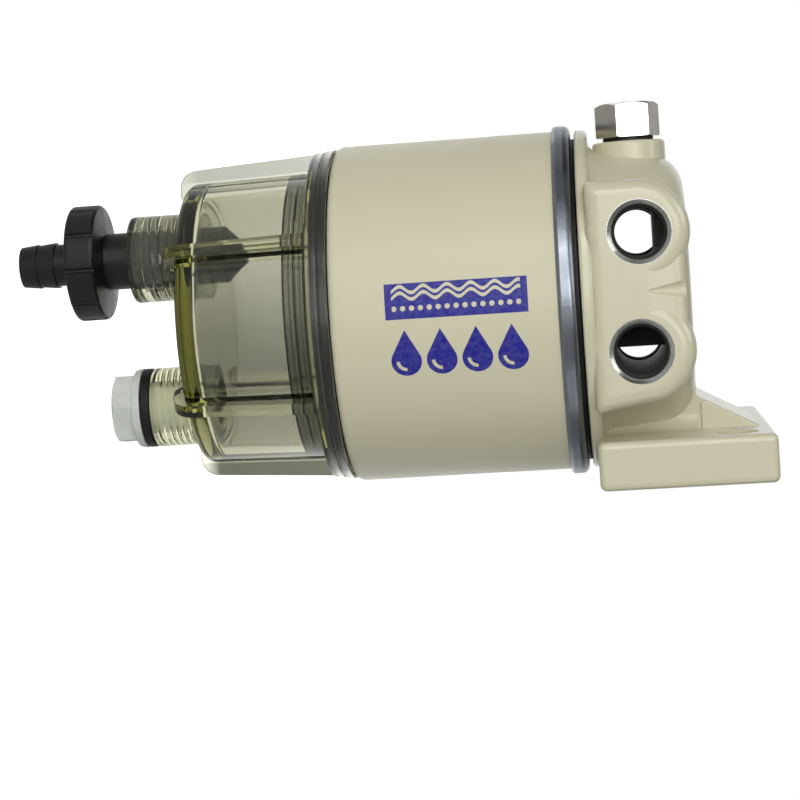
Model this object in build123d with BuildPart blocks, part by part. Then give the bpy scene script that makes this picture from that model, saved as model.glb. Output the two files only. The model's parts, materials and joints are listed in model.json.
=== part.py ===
import os
from math import cos, radians, sin

from build123d import *

# Spin-on fuel filter and water separator, modelled as it hangs on its wall bracket, in mm.
# +Z is up, the bracket's rear face is the plane Y = 0, its two bolt holes lie on the X axis,
# the vent plug looks to the front (-Y) and the fuel ports open to both sides (+X and -X).

# Clearances
thread_gap = 0.3
seal_gap = 0.3
seat_gap = 0.15
stud_fit = 0.05

# Element can, whose radius drives the head above it and the bowl below it
can_radius = 41.5
can_wall = 0.8
can_length = 52.95
can_corner = 1.8

# Wall bracket
can_to_wall = 1.9
axis_to_wall = can_radius + can_to_wall
bolt_line_to_seal = 34.1
bolt_spacing = 63.5
bolt_hole_diameter = 8.7
bolt_hole_chamfer = 0.5
plate_thickness = 11.4
plate_above_bolts = 8.8
plate_edge_radius = 1.6
neck_half_width = 17.1
neck_fillet = 3.5
wedge_reach = 8.0
wedge_top_below_plate_top = 2.8
pad_proud = 0.7
pad_rounding = 0.55
pad_foot_rise = 0.8
pad_corner = 1.2

# Head casting
flange_inset = 0.1
flange_diameter = 2 * (can_radius - flange_inset)
flange_thickness = 3.1
flange_fillet = 3.4
core_ledge = 5.4
core_foot_diameter = flange_diameter - 2 * core_ledge
core_taper = 2.8
core_top_diameter = core_foot_diameter - 2 * core_taper
core_height = 25.5
crown_radius = 8.0
casting_foot = 1.75
port_face_inset = 0.8
port_width = flange_diameter - 2 * port_face_inset
plate_width = port_width
port_spacing = 27.3
port_offset = 2.1
port_height = 13.6
port_boss_radius = 12.1
port_flank_draft = 2.0
port_edge_radius = 3.6
port_web_recess = 0.8
port_web_slope = 6.0
port_web_shoulder = 1.7
port_web_drop = 1.5
port_web_rounding = 2.0
port_flute_foot = 0.3
port_flute_radius = 2.8
port_bore_diameter = 12.5
port_mouth_diameter = 14.7
port_thread_depth = 12.0
inlet_bore_rise = 0.45
outlet_bore_drop = 0.53
plug_boss_radius = 8.85
plug_boss_inset = 3.5
plug_boss_reach = flange_diameter / 2 - plug_boss_inset
plug_height = 13.1

# Gasket between the head and the element
gasket_proud = 1.1
gasket_height = 4.55
gasket_inset = 2.1
gasket_width = 6.0
gasket_outer = can_radius - gasket_inset
gasket_inner = gasket_outer - gasket_width

# Galleries inside the head, a little narrower than the tapped ends of the port lines
gallery_step = 0.22
gallery_radius = port_bore_diameter / 2 - gallery_step
inlet_bore_depth = 14.0
outlet_bore_depth = 31.6
inlet_ceiling = 17.9
inlet_inner_radius = 16.5
inlet_wall_offset = 4.0
seal_groove_inner = 16.5
seal_groove_inset = 1.9
seal_groove_outer = gasket_inner - seal_groove_inset
seal_groove_depth = 4.0
inlet_chamber_inset = 1.5
inlet_outer_radius = seal_groove_outer - inlet_chamber_inset
divider_offset = 11.9
outlet_radius = 6.5
outlet_height = 18.0
outlet_slot_width = 8.0
outlet_slot_drop = 8.0

# Stud that the element screws onto
stud_radius = 9.525
stud_engagement = 7.0
stud_reach = 16.0

# Vent plug
vent_thread_radius = 5.0
vent_thread_length = 8.0
vent_hex = 13.7
vent_hex_height = 8.3
vent_hex_turn = 49.9
vent_seal_radius = 6.15
vent_seal_thickness = 1.0

# Seam ring and top plate
seam_ring_proud = 1.2
seam_ring_radius = can_radius + seam_ring_proud
seam_ring_height = 4.25
seam_wall = 0.8
seam_lap = 3.1
plate_steel = 3.2
plate_hub_radius = 13.0
plate_hub_drop = 2.35
plate_hole_diameter = 7.5
plate_hole_circle = 22.0
plate_hole_count = 8

# Bowl
bowl_gap = 0.4
bowl_depth = 37.3
bowl_flange_inset = 0.5
bowl_flange_radius = can_radius - bowl_flange_inset
bowl_collar_inset = 0.4
bowl_collar_radius = bowl_flange_radius - bowl_collar_inset
bowl_flange_height = 5.2
bowl_lip_height = 2.1
bowl_groove_depth = 0.5
bowl_groove_height = 0.5
bowl_neck_inset = 8.5
bowl_neck_radius = can_radius - bowl_neck_inset
bowl_neck_height = 10.3
bowl_neck_wall = 4.2
bowl_neck_bore = bowl_neck_radius - bowl_neck_wall
bowl_wall_inset = 5.25
bowl_wall_top = bowl_flange_radius - bowl_wall_inset
bowl_wall_draft = 0.9
bowl_wall_bottom = bowl_wall_top - bowl_wall_draft
bowl_wall = 3.4
bowl_floor = 3.9
bowl_corner = 2.4
bowl_step_depth = 2.5
bowl_step_height = 2.5
rib_count = 6
rib_thickness = 3.2
rib_inset = 0.9
rib_top_radius = bowl_flange_radius - rib_inset
rib_draft = 2.1
rib_bottom_radius = rib_top_radius - rib_draft
rib_corner = 4.5
rib_overhang = 2.4
rib_turn = 1.0
rib_foot_length = 6.35
rib_end_inner = bowl_wall_bottom - rib_foot_length

# Bowl seal
bowl_seal_inset = 2.0
bowl_seal_outer = bowl_flange_radius - bowl_seal_inset
bowl_seal_width = 3.4
bowl_seal_height = 4.4
bowl_seal_rounding = 1.1

# Inside the can
can_mouth_gap = 1.2
can_mouth_radius = bowl_neck_radius + can_mouth_gap
thread_ring_height = 10.5
standoff_height = 2.0
standoff_width = 3.0
standoff_count = 6
cap_inset = 6.0
cap_radius = can_radius - cap_inset
cap_sheet = 1.0
cap_lip = 3.0
cap_lip_wall = 0.8
cap_hole_radius = 12.0
tube_radius = 15.0
tube_wall = 0.8
tube_hole_diameter = 4.0
tube_hole_rows = 5
tube_holes_around = 8
grommet_wall = 2.5
pleat_count = 36
pleat_inset = 1.3
pleat_outer = cap_radius - pleat_inset
pleat_inner_gap = 0.6
pleat_inner = tube_radius + pleat_inner_gap
pleat_sheet = 0.7

# Drain
drain_inset = 17.85
drain_offset = bowl_wall_bottom - drain_inset
drain_boss_radius = 10.8
drain_boss_length = 15.7
drain_stem_radius = 7.05
drain_stem_inside = 12.8
drain_tip_length = 4.9
drain_tip_radius = 2.2
drain_neck_length = 6.45
drain_bore_radius = 2.8
drain_port_radius = 2.0
drain_seal_section = 1.15
drain_seal_height = 1.8
drain_seal_depth = 4.0
drain_port_drop = 3.5
drain_relief = 0.9
drain_relief_drop = 2.0
drain_relief_height = 4.5
wheel_radius = 14.4
wheel_rim = 6.9
wheel_lobes = 10
wheel_notch_radius = 0.65
wheel_turn = 6.7
wheel_back_chamfer = 0.5
wheel_back_slope = 1.0
barb_length = 13.7
barb_radius = 5.25
barb_end_taper = 0.2
barb_first_edge = 4.3
barb_second_edge = 8.8
barb_first_rise = 0.3
barb_second_rise = 0.5

# Probe plug
probe_inset = 14.55
probe_offset = bowl_wall_bottom - probe_inset
probe_boss_radius = 9.9
probe_boss_length = 12.8
probe_thread_radius = 6.35
probe_thread_length = 8.5
probe_seal_thickness = 2.6
probe_flange_radius = 10.1
probe_flange_thickness = 2.0
probe_flange_taper = 0.5
probe_hex = 16.0
probe_hex_height = 5.4
probe_hex_turn = 7.5

# Levels along the filter's axis, from the bolt line down
axis_y = -axis_to_wall
seal_z = -bolt_line_to_seal
foot_z = seal_z + casting_foot
port_z = seal_z + port_height
core_top_z = seal_z + core_height
plug_z = seal_z + plug_height
ring_top = seal_z - gasket_proud
ring_bottom = ring_top - seam_ring_height
can_bottom = ring_bottom - can_length
plate_top = ring_bottom
plate_bottom = plate_top - plate_steel
thread_ring_top = can_bottom + can_wall + thread_ring_height
lower_cap_bottom = thread_ring_top + standoff_height
media_bottom = lower_cap_bottom + cap_sheet
hub_bottom = plate_bottom - plate_hub_drop
media_top = hub_bottom - cap_sheet - plate_hub_drop / 2
bowl_top = can_bottom - bowl_gap
flange_bottom = bowl_top - bowl_flange_height
bowl_end = bowl_top - bowl_depth
bowl_floor_z = bowl_end + bowl_floor
drain_boss_end = bowl_end - drain_boss_length
probe_boss_end = bowl_end - probe_boss_length
front_port_y = axis_y - port_offset - port_spacing / 2
rear_port_y = axis_y - port_offset + port_spacing / 2
inlet_z = port_z + inlet_bore_rise
outlet_z = port_z - outlet_bore_drop
plug_face_y = axis_y - plug_boss_reach
drain_y = axis_y - drain_offset
probe_y = axis_y + probe_offset

filter_axis = Axis((0, axis_y, 0), (0, 0, 1))
section_plane = Plane(origin=(0, axis_y, 0), x_dir=(1, 0, 0), z_dir=(0, -1, 0))


def level(z, y=axis_y):
    """A horizontal sketch plane at height z, centred on a vertical axis at depth y."""
    return Plane(origin=(0, y, z))


def turned(corners, rounding=0, y=axis_y, mode=Mode.ADD):
    """Turn a closed outline of (radius, z) corners about the vertical axis at depth y."""
    plane = Plane(origin=(0, y, 0), x_dir=(1, 0, 0), z_dir=(0, -1, 0))
    with BuildSketch(plane) as outline:
        with BuildLine():
            FilletPolyline(*corners, radius=rounding, close=True)
        make_face()
    revolve(outline.sketch, axis=Axis((0, y, 0), (0, 0, 1)), mode=mode)


def save(piece, name):
    """Label a finished piece and write it out."""
    piece.part.label = name
    export_step(piece.part, f"parts/{name}.step")


os.makedirs("parts", exist_ok=True)

# Head: one die casting with the wall plate, its wedge, the round body and the four ports
plate_height = plate_above_bolts - foot_z
plate_centre_z = (plate_above_bolts + foot_z) / 2
wedge_top_z = plate_above_bolts - wedge_top_below_plate_top
web_shoulder_z = port_z + port_web_shoulder
web_top_z = core_top_z - port_web_drop

wedge_slope = wedge_reach / (wedge_top_z - core_top_z)
pad_foot_z = core_top_z + pad_foot_rise
pad_reach = wedge_reach - wedge_slope * pad_foot_rise

# The wedge's pads as one prism through the neck, rounded before it joins the casting
with BuildPart() as wedge_pads:
    with BuildSketch(Plane.YZ):
        with BuildLine():
            FilletPolyline(
                (-plate_thickness / 2, pad_foot_z),
                (-plate_thickness - pad_reach, pad_foot_z),
                (-plate_thickness, wedge_top_z),
                (-plate_thickness / 2, wedge_top_z),
                radius=[0, pad_corner, 0, 0],
                close=True,
            )
        make_face()
    extrude(amount=neck_half_width + pad_proud, both=True)
    fillet(wedge_pads.faces().filter_by(Axis.X).edges(), radius=pad_rounding)

with BuildPart() as head:
    # Wall plate, all edges rounded
    with BuildSketch(Plane.XZ):
        with Locations((0, plate_centre_z)):
            Rectangle(plate_width, plate_height)
    extrude(amount=plate_thickness)
    fillet(head.edges(), radius=plate_edge_radius)

    # Port bar from face to face, its rear flank drafted towards the flange
    bar_front_y = front_port_y - port_boss_radius
    bar_rear_y = rear_port_y + port_boss_radius
    with BuildSketch(Plane.YZ):
        with BuildLine():
            FilletPolyline(
                (bar_front_y, foot_z),
                (bar_front_y, port_z),
                (bar_rear_y, port_z),
                (bar_rear_y + port_flank_draft, foot_z),
                radius=[plate_edge_radius, 0, 0, plate_edge_radius],
                close=True,
            )
        make_face()
    extrude(amount=port_width / 2, both=True)
    bar_faces = head.faces().filter_by(Axis.X).filter_by_position(
        Axis.Y, bar_front_y, bar_rear_y + port_flank_draft
    )
    bar_rim = bar_faces.edges().filter_by_position(Axis.Z, foot_z - 1, port_z - 0.01)
    fillet(bar_rim, radius=port_edge_radius)

    # Round port bosses with rounded rims
    for port_y in (front_port_y, rear_port_y):
        with BuildSketch(Plane.XY.offset(port_z)) as boss_half:
            with BuildLine():
                FilletPolyline(
                    (-port_width / 2, port_y),
                    (-port_width / 2, port_y + port_boss_radius),
                    (port_width / 2, port_y + port_boss_radius),
                    (port_width / 2, port_y),
                    radius=[0, port_edge_radius, port_edge_radius, 0],
                    close=True,
                )
            make_face()
        revolve(axis=Axis((0, port_y, port_z), (1, 0, 0)))

    # Web between the bosses, sloping in from the port faces
    with BuildSketch(Plane.XZ.offset(-rear_port_y)):
        with BuildLine():
            FilletPolyline(
                (-port_width / 2, port_z),
                (-port_width / 2, web_shoulder_z),
                (-port_width / 2 + port_web_recess, web_shoulder_z + port_web_slope),
                (-port_width / 2 + port_web_recess, web_top_z),
                (port_width / 2 - port_web_recess, web_top_z),
                (port_width / 2 - port_web_recess, web_shoulder_z + port_web_slope),
                (port_width / 2, web_shoulder_z),
                (port_width / 2, port_z),
                radius=[0] + 6 * [port_web_rounding] + [0],
                close=True,
            )
        make_face()
    extrude(amount=port_spacing)

    # Tapered flute down the middle of the web on each face
    for side in (-1, 1):
        with Locations((side * port_width / 2, (front_port_y + rear_port_y) / 2, web_shoulder_z)):
            Cone(
                port_flute_foot,
                port_flute_radius,
                core_top_z - web_shoulder_z,
                align=(Align.CENTER, Align.CENTER, Align.MIN),
                mode=Mode.SUBTRACT,
            )

    # Round body, crown and sealing flange
    turned(
        [
            (0, seal_z),
            (flange_diameter / 2, seal_z),
            (flange_diameter / 2, seal_z + flange_thickness),
            (core_foot_diameter / 2, seal_z + flange_thickness),
            (core_top_diameter / 2, core_top_z),
            (0, core_top_z),
        ],
        [0, 0.8, 1.4, flange_fillet, crown_radius, 0],
    )

    # Neck that carries the body on the wall plate
    with BuildSketch(Plane.XY.offset(foot_z)):
        with BuildLine():
            neck_foot = neck_half_width + 2 * neck_fillet
            FilletPolyline(
                (-neck_half_width, axis_y),
                (-neck_half_width, -plate_thickness),
                (-neck_foot, -plate_thickness),
                (-neck_foot, -plate_thickness / 2),
                (neck_foot, -plate_thickness / 2),
                (neck_foot, -plate_thickness),
                (neck_half_width, -plate_thickness),
                (neck_half_width, axis_y),
                radius=[0, neck_fillet, 0, 0, 0, 0, neck_fillet, 0],
                close=True,
            )
        make_face()
    extrude(amount=core_top_z - foot_z)

    # Wedge that stiffens the plate above the neck, and the rounded pads on its sides
    with BuildSketch(Plane.YZ):
        with BuildLine():
            Polyline(
                (-plate_thickness / 2, core_top_z),
                (-plate_thickness - wedge_reach, core_top_z),
                (-plate_thickness, wedge_top_z),
                (-plate_thickness / 2, wedge_top_z),
                close=True,
            )
        make_face()
    extrude(amount=neck_half_width, both=True)
    add(wedge_pads.part)

    # Boss for the vent plug
    with BuildSketch(Plane.XY.offset(plug_z)):
        with BuildLine():
            FilletPolyline(
                (0, plug_face_y),
                (plug_boss_radius, plug_face_y),
                (plug_boss_radius, axis_y - inlet_outer_radius / 2),
                (0, axis_y - inlet_outer_radius / 2),
                radius=[0, 0.9, 0, 0],
                close=True,
            )
        make_face()
    revolve(axis=Axis((0, axis_y, plug_z), (0, 1, 0)))

    # Bolt holes
    with Locations(
        *[
            Plane(origin=(side * bolt_spacing / 2, -plate_thickness, 0), z_dir=(0, -1, 0))
            for side in (-1, 1)
        ]
    ):
        CounterSinkHole(
            radius=bolt_hole_diameter / 2,
            counter_sink_radius=bolt_hole_diameter / 2 + bolt_hole_chamfer,
            depth=plate_thickness,
            counter_sink_angle=90,
        )

    # Four port bores with chamfered mouths, each opening into a narrower round line
    for port_y, bore_z, bore_depth in (
        (front_port_y, inlet_z, inlet_bore_depth),
        (rear_port_y, outlet_z, outlet_bore_depth),
    ):
        with Locations(
            *[
                Plane(origin=(side * port_width / 2, port_y, bore_z), z_dir=(side, 0, 0))
                for side in (-1, 1)
            ]
        ):
            CounterSinkHole(
                radius=port_bore_diameter / 2,
                counter_sink_radius=port_mouth_diameter / 2,
                depth=port_thread_depth,
                counter_sink_angle=90,
            )
            Hole(radius=gallery_radius, depth=bore_depth)

    # Inlet gallery under a flat ceiling, and outlet gallery behind a dividing wall
    with BuildSketch(Plane.YZ):
        with Locations((front_port_y, inlet_z)):
            Circle(gallery_radius)
        with Locations((front_port_y, seal_z + inlet_ceiling)):
            Rectangle(
                2 * port_bore_diameter,
                port_bore_diameter,
                align=(Align.CENTER, Align.MIN),
                mode=Mode.SUBTRACT,
            )
    extrude(amount=port_width / 2 - inlet_bore_depth, both=True, mode=Mode.SUBTRACT)
    with BuildSketch(Plane.YZ):
        with Locations((rear_port_y, outlet_z)):
            Circle(gallery_radius)
        with Locations((axis_y + divider_offset, outlet_z)):
            Rectangle(
                port_bore_diameter,
                2 * port_bore_diameter,
                align=(Align.MAX, Align.CENTER),
                mode=Mode.SUBTRACT,
            )
    extrude(amount=port_width / 2 - outlet_bore_depth, both=True, mode=Mode.SUBTRACT)

    # Inlet chamber in the front half, and the groove that spreads fuel inside the gasket
    with BuildSketch(level(seal_z)):
        Circle(inlet_outer_radius)
        Circle(inlet_inner_radius, mode=Mode.SUBTRACT)
        with Locations((0, -inlet_wall_offset)):
            Rectangle(
                2 * inlet_outer_radius,
                2 * inlet_outer_radius,
                align=(Align.CENTER, Align.MIN),
                mode=Mode.SUBTRACT,
            )
    extrude(amount=inlet_ceiling, mode=Mode.SUBTRACT)
    with BuildSketch(level(seal_z)):
        Circle(seal_groove_outer)
        Circle(seal_groove_inner, mode=Mode.SUBTRACT)
    extrude(amount=seal_groove_depth, mode=Mode.SUBTRACT)

    # Stud seat, and the outlet passage above it with its slot to the rear gallery
    with BuildSketch(level(seal_z)):
        Circle(stud_radius + stud_fit)
    extrude(amount=stud_engagement, mode=Mode.SUBTRACT)
    with BuildSketch(level(seal_z)):
        Circle(outlet_radius)
    extrude(amount=outlet_height, mode=Mode.SUBTRACT)
    with BuildSketch(level(seal_z + outlet_height)):
        Rectangle(outlet_slot_width, divider_offset + 1, align=(Align.CENTER, Align.MIN))
    extrude(amount=-outlet_slot_drop, mode=Mode.SUBTRACT)

    # Threaded hole for the vent plug, down to the inlet gallery
    with Locations(Plane(origin=(0, plug_face_y, plug_z), z_dir=(0, -1, 0))):
        Hole(radius=vent_thread_radius + thread_gap, depth=front_port_y - plug_face_y)

save(head, "head")

# Stud: a short pipe fixed in the head
with BuildPart() as element_stud:
    turned(
        [
            (outlet_radius, seal_z + stud_engagement),
            (stud_radius, seal_z + stud_engagement),
            (stud_radius, seal_z - stud_reach),
            (outlet_radius, seal_z - stud_reach),
        ],
        [0, 0, 1.0, 0.5],
    )
save(element_stud, "element_stud")

# Vent plug: hexagon head and threaded shank, and the seal ring under it
vent_hex_y = plug_face_y - vent_seal_thickness
vent_hex_top = vent_hex_y - vent_hex_height
vent_corner = vent_hex / 2 / cos(radians(30))
with BuildPart() as vent_plug:
    with BuildSketch(Plane(origin=(0, vent_hex_y, plug_z), x_dir=(0, 0, 1), z_dir=(0, -1, 0))):
        RegularPolygon(radius=vent_corner, side_count=6, rotation=-vent_hex_turn)
    extrude(amount=vent_hex_height)
    with BuildSketch(Plane.XY.offset(plug_z)):
        with BuildLine():
            Polyline(
                (0, vent_hex_top),
                (vent_hex / 2 - 0.2, vent_hex_top),
                (vent_corner + 0.2, vent_hex_top + 0.9),
                (vent_corner + 0.2, vent_hex_y - 0.4),
                (vent_corner - 0.4, vent_hex_y),
                (0, vent_hex_y),
                close=True,
            )
        make_face()
    revolve(axis=Axis((0, 0, plug_z), (0, 1, 0)), mode=Mode.INTERSECT)
    with BuildSketch(Plane.XY.offset(plug_z)):
        with BuildLine():
            FilletPolyline(
                (0, vent_hex_y - 1),
                (vent_thread_radius, vent_hex_y - 1),
                (vent_thread_radius, plug_face_y + vent_thread_length),
                (0, plug_face_y + vent_thread_length),
                radius=[0, 0, 0.8, 0],
                close=True,
            )
        make_face()
    revolve(axis=Axis((0, 0, plug_z), (0, 1, 0)))
save(vent_plug, "vent_plug")

with BuildPart() as vent_seal:
    with BuildSketch(Plane(origin=(0, plug_face_y, plug_z), z_dir=(0, -1, 0))):
        Circle(vent_seal_radius)
        Circle(vent_thread_radius + seal_gap, mode=Mode.SUBTRACT)
    extrude(amount=vent_seal_thickness)
save(vent_seal, "vent_seal")

# Gasket between the head and the element
with BuildPart() as element_gasket:
    turned(
        [
            (gasket_inner, seal_z),
            (gasket_outer, seal_z),
            (gasket_outer, seal_z - gasket_height),
            (gasket_inner, seal_z - gasket_height),
        ],
        [0.5, 0.5, 0.3, 0.3],
    )
save(element_gasket, "element_gasket")

# Seam ring: gasket channel and a rolled bead that grips the can's edge
channel_outer = gasket_outer + seal_gap
channel_inner = gasket_inner - seal_gap
channel_floor = ring_bottom + seam_wall
slot_inner = can_radius - can_wall - seat_gap
slot_outer = can_radius + seat_gap
with BuildPart() as seam_ring:
    turned(
        [
            (channel_inner - seam_lap, ring_top - 2 * seam_wall),
            (channel_inner - seam_wall, ring_top - 2 * seam_wall),
            (channel_inner - seam_wall, ring_bottom),
            (slot_inner, ring_bottom),
            (slot_inner, ring_top - seam_wall),
            (slot_outer, ring_top - seam_wall),
            (slot_outer, ring_bottom),
            (seam_ring_radius, ring_bottom),
            (seam_ring_radius, ring_top),
            (channel_outer, ring_top),
            (channel_outer, channel_floor),
            (channel_inner, channel_floor),
            (channel_inner, ring_top - seam_wall),
            (channel_inner - seam_lap, ring_top - seam_wall),
        ],
        [0, 0, 0.5, 0, 0, 0, 0, 0.9, 1.6, 0.5, 0, 0, 0, 0],
    )
save(seam_ring, "seam_ring")

# Top plate: threaded hub and a circle of inlet holes
with BuildPart() as top_plate:
    turned(
        [
            (stud_radius + thread_gap, plate_top),
            (can_radius - can_wall - seat_gap, plate_top),
            (can_radius - can_wall - seat_gap, plate_bottom),
            (plate_hub_radius, plate_bottom),
            (plate_hub_radius, hub_bottom),
            (stud_radius + thread_gap, hub_bottom),
        ],
        [0.8, 0, 0.6, 0, 0.5, 0.5],
    )
    with Locations(level(plate_top)):
        with PolarLocations(plate_hole_circle, plate_hole_count):
            Hole(radius=plate_hole_diameter / 2, depth=plate_steel)
save(top_plate, "top_plate")

# Can: drawn steel sheet, turned in at the bottom around the bowl's neck
with BuildPart() as filter_can:
    turned(
        [
            (can_mouth_radius, can_bottom),
            (can_radius, can_bottom),
            (can_radius, ring_top - seam_wall - seat_gap),
            (can_radius - can_wall, ring_top - seam_wall - seat_gap),
            (can_radius - can_wall, can_bottom + can_wall),
            (can_mouth_radius, can_bottom + can_wall),
        ],
        [0, can_corner, 0, 0, can_corner - can_wall, 0],
    )
save(filter_can, "filter_can")

# Thread ring in the can's mouth, with standoffs that let water past the filter pack
with BuildPart() as can_thread_ring:
    ring_bore = bowl_neck_radius + thread_gap
    ring_outer = can_radius - can_wall - seat_gap
    turned(
        [
            (ring_bore, can_bottom + can_wall),
            (ring_outer, can_bottom + can_wall),
            (ring_outer, thread_ring_top),
            (ring_bore, thread_ring_top),
        ],
        [0, can_corner, 1.0, 1.0],
    )
    with Locations(level(thread_ring_top)):
        with PolarLocations((ring_bore + ring_outer) / 2 - 1, standoff_count):
            Box(
                3 * standoff_width / 2,
                standoff_width,
                standoff_height,
                align=(Align.CENTER, Align.CENTER, Align.MIN),
            )
save(can_thread_ring, "can_thread_ring")

# Filter pack: end caps, perforated centre tube and pleated media
with BuildPart() as lower_end_cap:
    turned(
        [
            (0, lower_cap_bottom),
            (cap_radius, lower_cap_bottom),
            (cap_radius, media_bottom + cap_lip),
            (cap_radius - cap_lip_wall, media_bottom + cap_lip),
            (cap_radius - cap_lip_wall, media_bottom),
            (0, media_bottom),
        ],
        [0, 0.8, 0, 0, 0, 0],
    )
save(lower_end_cap, "lower_end_cap")

with BuildPart() as upper_end_cap:
    turned(
        [
            (cap_hole_radius, media_top + cap_sheet),
            (cap_radius, media_top + cap_sheet),
            (cap_radius, media_top - cap_lip),
            (cap_radius - cap_lip_wall, media_top - cap_lip),
            (cap_radius - cap_lip_wall, media_top),
            (cap_hole_radius, media_top),
        ],
        [0, 0.8, 0, 0, 0, 0],
    )
save(upper_end_cap, "upper_end_cap")

with BuildPart() as centre_tube:
    with BuildSketch(level(media_bottom)):
        Circle(tube_radius)
        Circle(tube_radius - tube_wall, mode=Mode.SUBTRACT)
    extrude(amount=media_top - media_bottom)
    row_pitch = (media_top - media_bottom) / tube_hole_rows
    for row in range(tube_hole_rows):
        row_z = media_bottom + (row + 0.5) * row_pitch
        with Locations(level(row_z)):
            with PolarLocations(tube_radius, tube_holes_around):
                Cylinder(
                    tube_hole_diameter / 2,
                    4 * tube_wall,
                    rotation=(0, 90, 0),
                    mode=Mode.SUBTRACT,
                )
save(centre_tube, "centre_tube")

with BuildPart() as media_pack:
    half_pitch = 180 / pleat_count
    ridge_points = []
    valley_points = []
    for pleat in range(2 * pleat_count):
        angle = radians(pleat * half_pitch)
        outwards = pleat % 2 == 0
        outer_r = pleat_outer if outwards else pleat_inner + 4 * pleat_sheet
        inner_r = pleat_outer - 4 * pleat_sheet if outwards else pleat_inner
        ridge_points.append((outer_r * cos(angle), outer_r * sin(angle)))
        valley_points.append((inner_r * cos(angle), inner_r * sin(angle)))
    with BuildSketch(level(media_bottom)):
        with BuildLine():
            Polyline(*ridge_points, close=True)
        make_face()
        with BuildLine():
            Polyline(*valley_points, close=True)
        make_face(mode=Mode.SUBTRACT)
    extrude(amount=media_top - media_bottom)
save(media_pack, "media_pack")

with BuildPart() as hub_grommet:
    grommet_inner = plate_hub_radius + seat_gap
    turned(
        [
            (grommet_inner, media_top + cap_sheet),
            (grommet_inner + grommet_wall, media_top + cap_sheet),
            (grommet_inner + grommet_wall, plate_bottom),
            (grommet_inner, plate_bottom),
        ],
        0.4,
    )
save(hub_grommet, "hub_grommet")

# Seal between the bowl and the can
with BuildPart() as bowl_seal:
    seal_bottom = can_bottom - bowl_seal_height
    turned(
        [
            (bowl_seal_outer - bowl_seal_width, can_bottom),
            (bowl_seal_outer, can_bottom),
            (bowl_seal_outer, seal_bottom),
            (bowl_seal_outer - bowl_seal_width, seal_bottom),
        ],
        bowl_seal_rounding,
    )
save(bowl_seal, "bowl_seal")

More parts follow.
